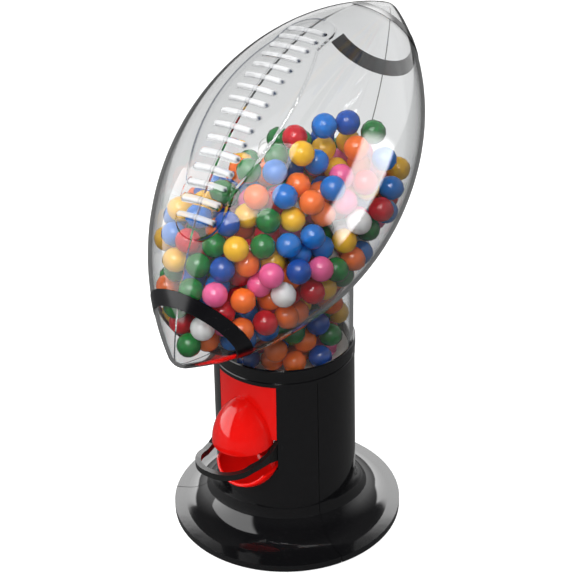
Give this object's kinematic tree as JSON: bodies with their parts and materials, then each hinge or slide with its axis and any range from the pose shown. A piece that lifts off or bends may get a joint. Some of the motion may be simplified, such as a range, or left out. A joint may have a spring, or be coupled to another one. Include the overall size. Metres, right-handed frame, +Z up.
{
  "type": "gumball machine",
  "caption": "Table-top gumball machine with a clear football-shaped globe on a round black stand, a red hooded chute and a press-down loop lever.",
  "frame": {"origin": "middle of the underside, on the surface that the machine stands on, on the column's axis", "axes": "+X to the machine's right as seen from the front, -Y to the front where the chute and lever are, +Z up"},
  "size_m": [0.1384, 0.2146, 0.2961],
  "materials": {
    "clear_plastic": "clear glossy polystyrene",
    "stripe_black": "printed black band",
    "black_plastic": "high gloss moulded",
    "lever_black": "satin moulded",
    "base_black": "matt moulded",
    "red_plastic": "high gloss moulded",
    "white_plastic": "natural acetal",
    "steel": "zinc plated",
    "zinc_plate": "zinc plated sheet",
    "rubber": "matt",
    "gumball": "polished sugar shell, mixed colours"
  },
  "bodies": {
    "stand": {"front_shell": "black_plastic", "rear_shell": "black_plastic", "clamp_ring": "black_plastic", "front_panel": "red_plastic", "chute_scoop": "red_plastic", "hinge_pins": "steel", "return_spring": "steel", "hopper_floor": "white_plastic", "left_frame_plate": "zinc_plate", "right_frame_plate": "zinc_plate", "frame_screws": "steel", "chute_ramp": "red_plastic", "bottom_plate": "base_black", "non_slip_pad": "rubber", "base_screws": "steel"},
    "globe": {"globe_left": "clear_plastic", "globe_right": "clear_plastic", "upper_stripe": "stripe_black", "lower_stripe": "stripe_black", "collar_ring": "black_plastic", "gumballs": "gumball"},
    "lever": {"lever_loop": "lever_black", "quadrant_gear": "white_plastic"},
    "drum": {"portion_drum": "white_plastic", "drum_pinion": "white_plastic", "drum_axle": "steel"}
  },
  "joints": [
    {"name": "lever_press", "type": "hinge", "parent": "stand", "child": "lever", "pos_m": [0, -0.027, 0.066], "axis": [1, 0, 0], "range_deg": [0, 22], "stiffness_Nm_per_rad": 0.15, "deforming": ["return_spring"]},
    {"name": "drum_turn", "type": "hinge", "parent": "stand", "child": "drum", "pos_m": [0, -0.00203, 0.08601], "axis": [1, 0, 0], "range_deg": [-110, 0]},
    {"name": "globe_lift", "type": "slide", "parent": "stand", "child": "globe", "axis": [0, 0, 1], "range_m": [0, 0.03]}
  ],
  "couplings": [
    {"joint": "drum_turn", "follows": "lever_press", "ratio": -5}
  ]
}
